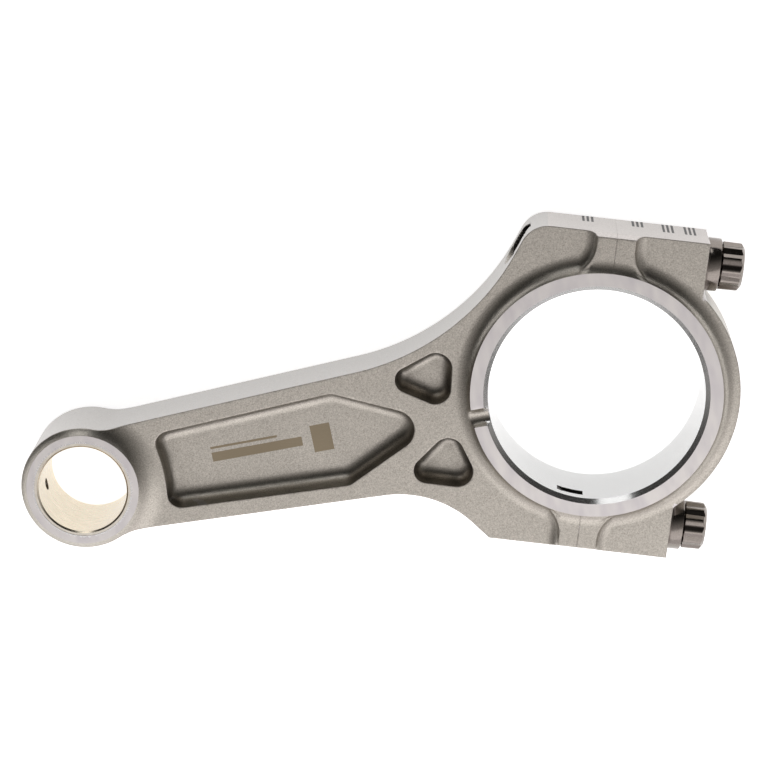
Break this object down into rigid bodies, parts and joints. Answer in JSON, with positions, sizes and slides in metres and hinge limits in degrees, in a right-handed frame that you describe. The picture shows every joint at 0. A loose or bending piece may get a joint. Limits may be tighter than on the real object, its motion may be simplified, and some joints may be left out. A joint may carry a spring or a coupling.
{
  "type": "connecting rod",
  "caption": "Forged connecting rod with an angled cap split, pocketed shank, bushed small end, ring dowels and flanged multi-point cap bolts.",
  "frame": {"origin": "centre of the big end bore, halfway across its width", "axes": "+Z along both bore axes, +X from the small end to the big end, so the small end lies towards -X"},
  "size_m": [0.1864, 0.0904, 0.022],
  "materials": {
    "forged_steel": "blasted warm grey steel, with side faces and bores machined bright",
    "cap_steel": "blasted warm grey steel, with side faces and bore machined bright",
    "bush_bronze": "smooth bored bronze",
    "sleeve_steel": "ground steel",
    "bolt_steel": "dark polished steel"
  },
  "bodies": {
    "rod": {"rod_body": "forged_steel", "small_end_bush": "bush_bronze", "dowel_sleeve_upper": "sleeve_steel", "dowel_sleeve_lower": "sleeve_steel"},
    "cap": {"bearing_cap": "cap_steel"},
    "bolt_upper": {"rod_bolt_upper": "bolt_steel"},
    "bolt_lower": {"rod_bolt_lower": "bolt_steel"}
  },
  "joints": [
    {"name": "cap_pull_off", "type": "slide", "parent": "rod", "child": "cap", "axis": [0.9537, -0.3007, 0], "range_m": [0, 0.03]},
    {"name": "bolt_upper_unscrew", "type": "slide", "parent": "cap", "child": "bolt_upper", "axis": [0.9537, -0.3007, 0], "range_m": [0, 0.045]},
    {"name": "bolt_lower_unscrew", "type": "slide", "parent": "cap", "child": "bolt_lower", "axis": [0.9537, -0.3007, 0], "range_m": [0, 0.045]}
  ]
}
